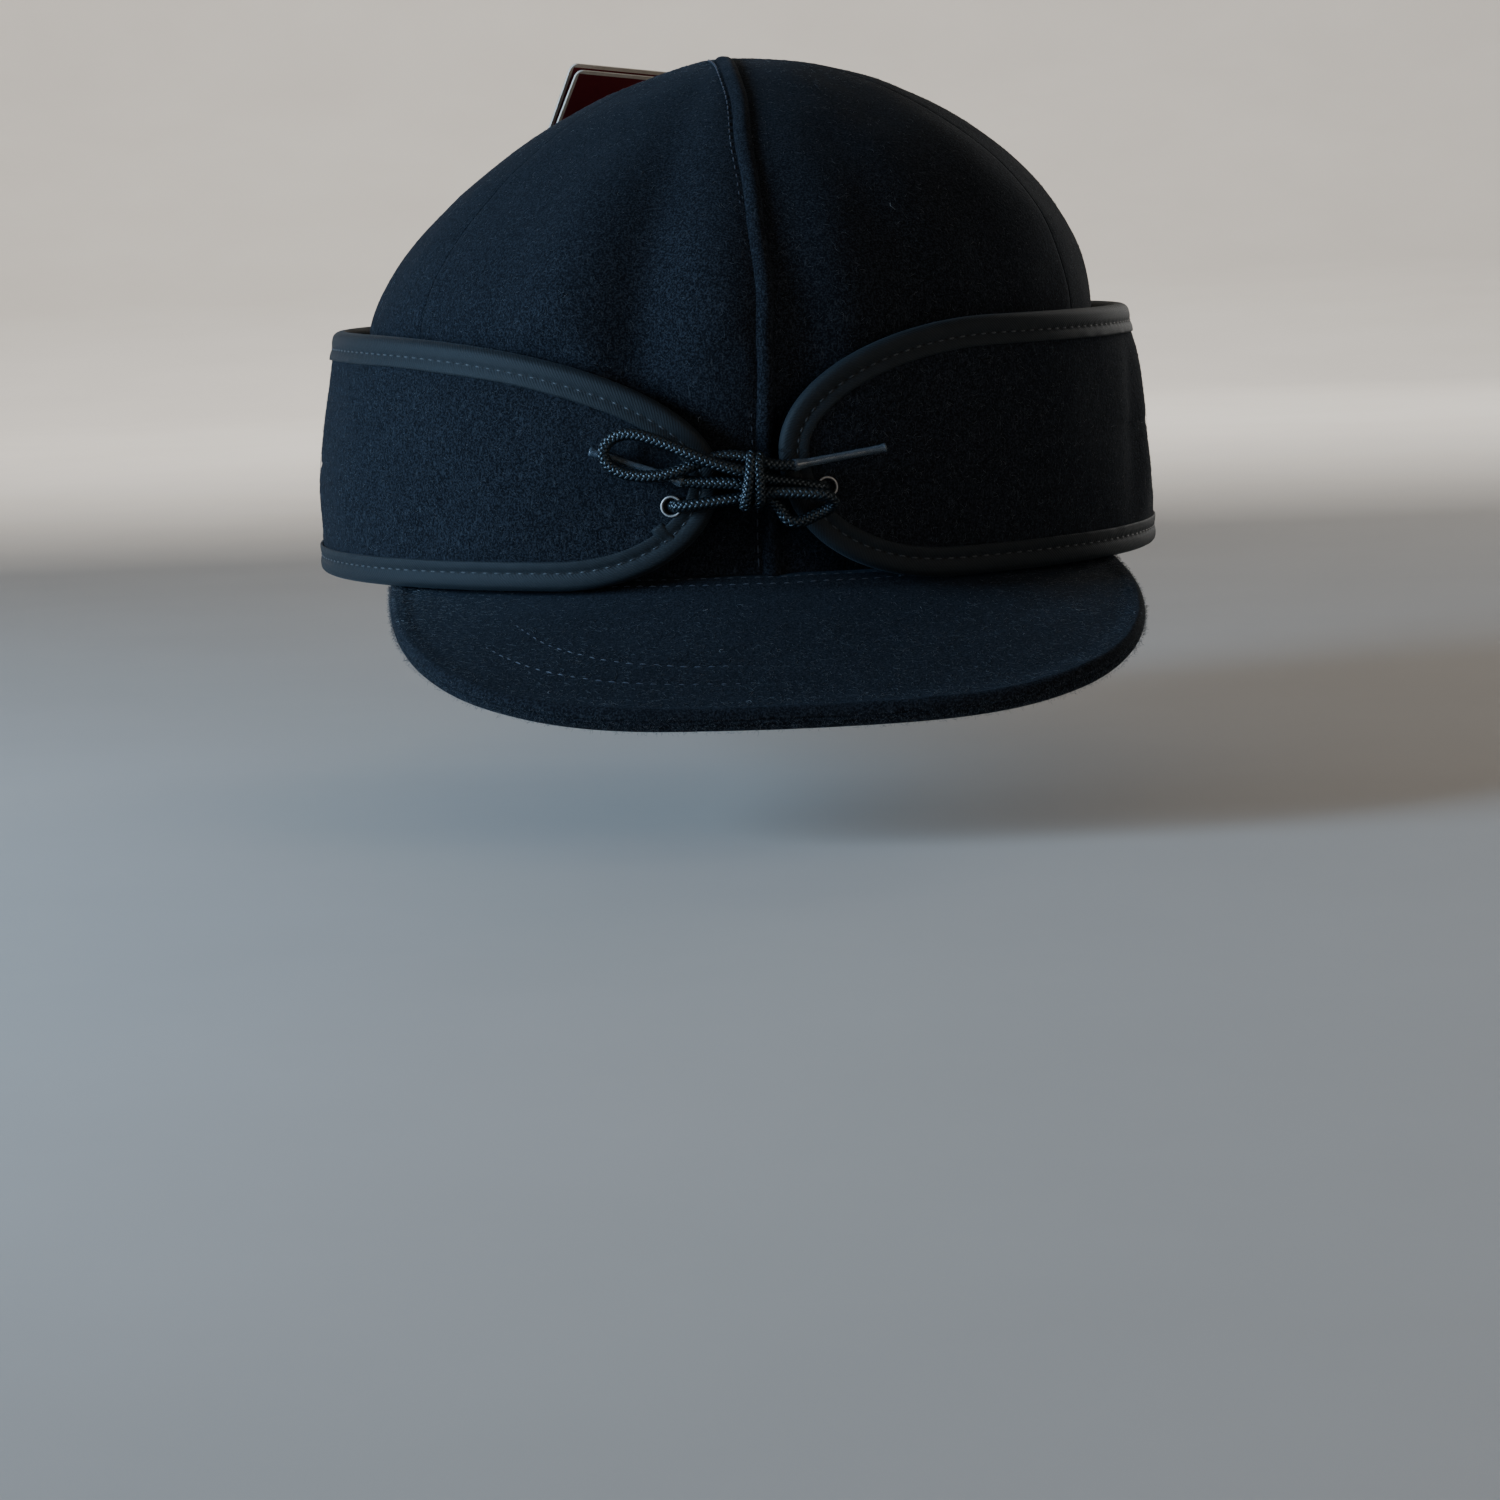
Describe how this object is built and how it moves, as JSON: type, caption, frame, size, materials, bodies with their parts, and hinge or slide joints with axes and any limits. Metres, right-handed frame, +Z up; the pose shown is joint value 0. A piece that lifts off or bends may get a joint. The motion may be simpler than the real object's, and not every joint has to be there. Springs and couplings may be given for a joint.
{
  "type": "trapper hat",
  "caption": "Dark wool six-panel cap with a stiff visor and a bound earband that is laced in front and pulls down over the ears.",
  "frame": {"origin": "centre of the head opening, at the level of the crown's lower edge", "axes": "+Z up through the crown, -Y out over the visor, +X to the right in a view from the front"},
  "size_m": [0.2042, 0.2621, 0.1478],
  "materials": {
    "wool": "fulled wool melton, soft nap",
    "lining": "plain woven satin lining",
    "sweatband": "soft knitted terry band",
    "binding": "smooth twill bias tape",
    "ear_lining": "brushed knit",
    "board": "moulded sheet",
    "lace": "round braided polyester cord",
    "nickel": "nickel plated brass",
    "aglet": "clear shrunk film over dark cord",
    "tag_card": "coated card, plain dark red with a cream edge",
    "tag_loop": "moulded nylon filament",
    "label": "woven blank label"
  },
  "bodies": {
    "crown": {"aglet_left": "aglet", "aglet_right": "aglet", "band_binding_front_left": "binding", "band_binding_front_right": "binding", "band_front_left": "wool", "band_front_lining_left": "ear_lining", "band_front_lining_right": "ear_lining", "band_front_right": "wool", "bow_knot": "lace", "crown_panel_back_left": "wool", "crown_panel_back_right": "wool", "crown_panel_front_left": "wool", "crown_panel_front_right": "wool", "crown_panel_side_left": "wool", "crown_panel_side_right": "wool", "eyelet_left": "nickel", "eyelet_right": "nickel", "eyelet_washer_left": "nickel", "eyelet_washer_right": "nickel", "front_seam_welt": "wool", "lace_left": "lace", "lace_right": "lace", "lace_stop_left": "lace", "lace_stop_right": "lace", "lining_panel_back_left": "lining", "lining_panel_back_right": "lining", "lining_panel_front_left": "lining", "lining_panel_front_right": "lining", "lining_panel_side_left": "lining", "lining_panel_side_right": "lining", "size_label": "label", "sweatband": "sweatband", "visor_board": "board", "visor_top_cover": "wool", "visor_under_cover": "wool"},
    "earband": {"band_binding_rear_bottom": "binding", "band_binding_rear_top": "binding", "band_gusset": "ear_lining", "band_rear": "wool", "band_rear_lining": "ear_lining", "tag_loop": "tag_loop"},
    "tag": {"tag_front_leaf": "tag_card", "tag_back_leaf": "tag_card"}
  },
  "joints": [
    {"name": "earband_pull_down", "type": "hinge", "parent": "crown", "child": "earband", "pos_m": [0, -0.0505, 0.002], "axis": [-1, 0, 0], "range_deg": [0, 16.5]},
    {"name": "tag_swing", "type": "hinge", "parent": "earband", "child": "tag", "pos_m": [-0.03964, 0.09491, 0.0623], "axis": [-0.891, -0.454, 0], "range_deg": [0, 120]}
  ]
}
